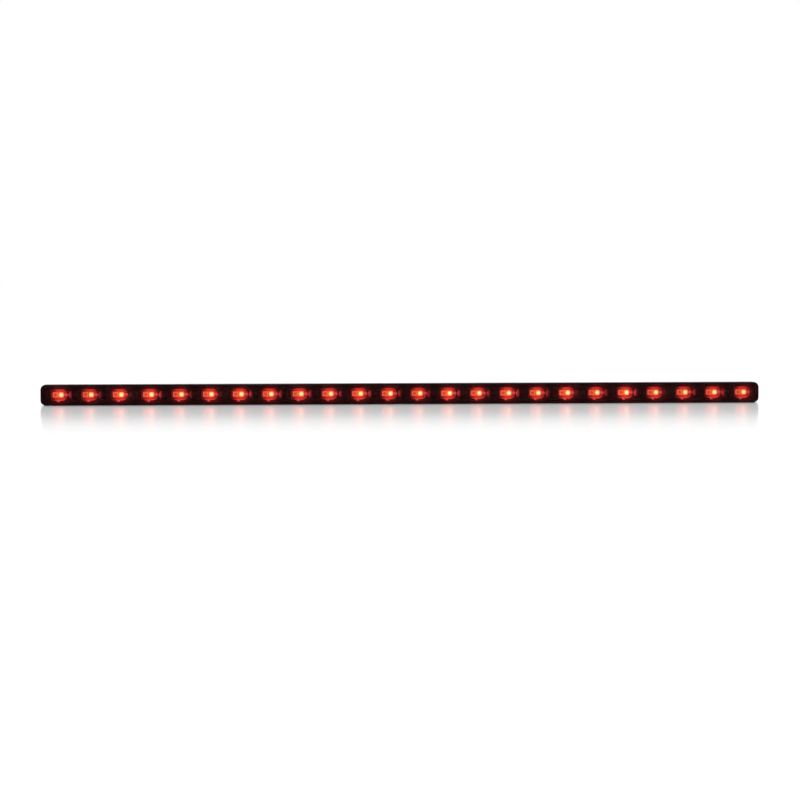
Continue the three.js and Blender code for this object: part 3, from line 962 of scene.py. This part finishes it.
def driver_package(driver, number):
    """Small-outline package with drafted sides, a round pin-one mark and gull-wing leads."""
    mesh = new_mesh()
    x = driver.middle.x
    back = driver.high.y - DRIVER_STANDOFF
    front = driver.low.y
    middle = (back + front) / 2
    half_x = driver.half.x - DRIVER_LEAD_REACH
    half_z = driver.half.z
    corner = 0.12
    levels = [(0.12, back), (0.0, middle + 0.05), (0.0, middle - 0.05), (0.14, front + 0.06), (0.2, front)]
    rings = [
        add_ring(mesh, rounded_rectangle(half_x - inset, half_z - inset, corner, steps=3), y, (x, 0))
        for inset, y in levels
    ]
    add_loft(mesh, rings, material=0)
    lead = gull_wing(half_x, driver.half.x, middle, driver.high.y)
    for side in (-1, 1):
        for row in range(4):
            z = (row - 1.5) * DRIVER_LEAD_PITCH
            ends = [
                [mesh.verts.new((x + side * u, y, z + half)) for u, y in lead]
                for half in (-DRIVER_LEAD_HALF, DRIVER_LEAD_HALF)
            ]
            add_loft(mesh, ends, material=1)
    mark = [(0, front - 0.01), (0.22, front - 0.01), (0.3, front + 0.005)]
    mark += [(0.3, front + 0.02), (0, front + 0.02)]
    centre = (x - half_x + DRIVER_MARK_INSET, half_z - DRIVER_MARK_INSET)
    add_turned(mesh, mark, centre, 24, material=0)
    return to_object(mesh, f"driver_{number}_package", [chip_epoxy, tinned_metal])


def gull_wing(start, end, shoulder, foot):
    """Side view (x, y) of a bent lead, as a closed outline: out of the body, down, and out again."""
    thick = 0.15
    knee = start + 0.2
    ankle = end - 0.45
    root = start - 0.1
    upper = [(root, shoulder - thick / 2), (knee, shoulder - thick / 2), (knee + 0.12, shoulder - 0.02)]
    upper += [(ankle + 0.04, foot - thick - 0.02), (end, foot - thick)]
    lower = [(end, foot), (ankle - 0.06, foot), (ankle - 0.14, foot - 0.1)]
    lower += [(knee - 0.08, shoulder + thick / 2), (root, shoulder + thick / 2)]
    return upper + lower


add_piece(chip_resistors(), "chip_epoxy")
add_piece(test_pads(), "tinned_metal")
add_piece(solder_tracks(), "tinned_metal")
for number, driver in enumerate(DRIVERS, 1):
    add_piece(driver_package(driver, number), "chip_epoxy", f"current_driver_{number}")

for name, surface in (("circuit_board", board_mask), ("polarity_diode", chip_epoxy)):
    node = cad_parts[name]
    node.data.materials.clear()
    node.data.materials.append(surface.material)

# ---- Foam tape and grommet, on the back ----


def foam_tape():
    """Tape with cut edges that wander a little, punched out round the grommet."""
    rng = random.Random(11)
    steps = 106
    straight = TAPE.half.x - TAPE_CORNER
    height = TAPE.half.z - TAPE_TRIM
    outline = []
    for side in (1, -1):
        for i in range(steps + 1):
            share = i / steps * 2 - 1
            outline.append((-share * side * straight, side * (height - TAPE_WANDER * rng.random())))
        turn = 90 if side == 1 else 270
        high = (-side * straight, side * (height - TAPE_CORNER))
        low = (-side * straight, -side * (height - TAPE_CORNER))
        outline += arc_about(high, TAPE_CORNER, turn, turn + 90)[1:]
        outline += arc_about(low, TAPE_CORNER, turn + 90, turn + 180)[:-1]
    levels = [(0.998, TAPE.high.y), (1.0, TAPE.high.y - 0.12), (0.994, TAPE.middle.y)]
    levels += [(1.0, TAPE.low.y + 0.12), (0.998, TAPE.low.y)]
    mesh = new_mesh()
    rings = [add_ring(mesh, [(x, z * shrink) for x, z in outline], y) for shrink, y in levels]
    add_loft(mesh, rings)
    piece = to_object(mesh, "foam_tape", [foam])
    hole = new_mesh()
    radius = GROMMET.half.x + TAPE_PUNCH_GAP
    start = TAPE.high.y + CUT_PAST
    end = TAPE.low.y - CUT_PAST
    centre = (GROMMET.middle.x, GROMMET.middle.z)
    add_turned(hole, [(0, start), (radius, start), (radius, end), (0, end)], centre, TURNED_STEPS)
    cut(piece, hole)
    return piece


def grommet_bush():
    """Rubber bush with a rounded outer flange, a neck in the wall, an inner flange and a belled bore."""
    outer = GROMMET.high.y
    inner = GROMMET.low.y
    wall_out = HOUSING.high.y + SEAT
    wall_in = HOUSING.high.y - BACK_WALL - SEAT
    flange = GROMMET.half.x
    neck = GROMMET_NECK
    bore = GROMMET_BORE
    edge = 0.25
    profile = [(flange - edge + edge * c, outer - edge + edge * s) for c, s in arc(4, 90, 0)]
    profile += [(flange, wall_out + 0.06), (flange - 0.06, wall_out), (neck, wall_out), (neck, wall_in)]
    profile += [(neck + 0.55, wall_in), (neck + 0.7, wall_in - 0.1), (neck + 0.55, inner + 0.1)]
    profile += [(neck + 0.2, inner), (bore + 0.2, inner), (bore, inner + 0.2), (bore, outer - 0.3)]
    profile += [(bore + 0.1, outer - 0.1), (bore + 0.3, outer)]
    mesh = new_mesh()
    add_turned(mesh, profile, (GROMMET.middle.x, GROMMET.middle.z), TURNED_STEPS)
    return to_object(mesh, "grommet_bush", [grommet_rubber])


add_piece(foam_tape(), "foam_tape", "mounting_tape")
add_piece(grommet_bush(), "grommet_rubber", "cable_grommet")

# ---- Floor, light and camera ----


def studio():
    """Pale satin floor, white surroundings and a broad soft light from above and behind."""
    floor_half = 40000
    floor_gap = 0.01
    mesh = new_mesh()
    bmesh.ops.create_grid(mesh, x_segments=1, y_segments=1, size=floor_half)
    floor_surface = Surface("floor_satin", (0.86, 0.86, 0.86), 0.16, Specular_IOR_Level=0.6)
    floor = to_object(mesh, "floor", [floor_surface])
    floor.location.z = (HOUSING.low.z - floor_gap) * MM
    surroundings()
    lamp = bpy.data.lights.new("overhead", "SUN")
    lamp.energy = 3.6
    lamp.angle = math.radians(70)
    holder = bpy.data.objects.new("overhead", lamp)
    holder.rotation_euler = (math.radians(-35), 0, 0)
    bpy.context.scene.collection.objects.link(holder)


def surroundings():
    """White where they are seen or mirrored, and dimmer as a source of light."""
    dim = 0.35
    world = bpy.data.worlds.new("studio")
    world.use_nodes = True
    tree = world.node_tree
    path = tree.nodes.new("ShaderNodeLightPath")
    strength = tree.nodes.new("ShaderNodeMapRange")
    strength.inputs["To Min"].default_value = dim
    strength.inputs["To Max"].default_value = 1.0
    background = tree.nodes["Background"]
    background.inputs["Color"].default_value = (1, 1, 1, 1)
    seen = tree.nodes.new("ShaderNodeMath")
    seen.operation = "MAXIMUM"
    tree.links.new(path.outputs["Is Camera Ray"], seen.inputs[0])
    tree.links.new(path.outputs["Is Glossy Ray"], seen.inputs[1])
    tree.links.new(seen.outputs[0], strength.inputs["Value"])
    tree.links.new(strength.outputs["Result"], background.inputs["Strength"])
    bpy.context.scene.world = world


def camera():
    """Long lens in front of the bar and a little to its left. The bar fills nine tenths of the frame."""
    azimuth = math.radians(-3.6)
    elevation = math.radians(2.5)
    roll = math.radians(-0.09)
    distance = 1.5
    fill = 0.897
    frame_width = 2 * HOUSING.half.x * MM / fill
    data = bpy.data.cameras.new("camera")
    data.lens = data.sensor_width * distance / frame_width
    data.clip_start = 0.01
    data.clip_end = 100
    data.shift_x = -0.0029
    data.shift_y = -0.0083
    made = bpy.data.objects.new("camera", data)
    back = Vector(
        (
            math.sin(azimuth) * math.cos(elevation),
            -math.cos(azimuth) * math.cos(elevation),
            math.sin(elevation),
        )
    )
    aim = HOUSING.middle * MM
    made.location = aim + back * distance
    turn = (-back).to_track_quat("-Z", "Y").to_matrix().to_4x4() @ Matrix.Rotation(roll, 4, "Z")
    made.rotation_euler = turn.to_euler()
    bpy.context.scene.collection.objects.link(made)
    bpy.context.scene.camera = made


studio()
camera()
bpy.context.scene.view_settings.view_transform = "Standard"
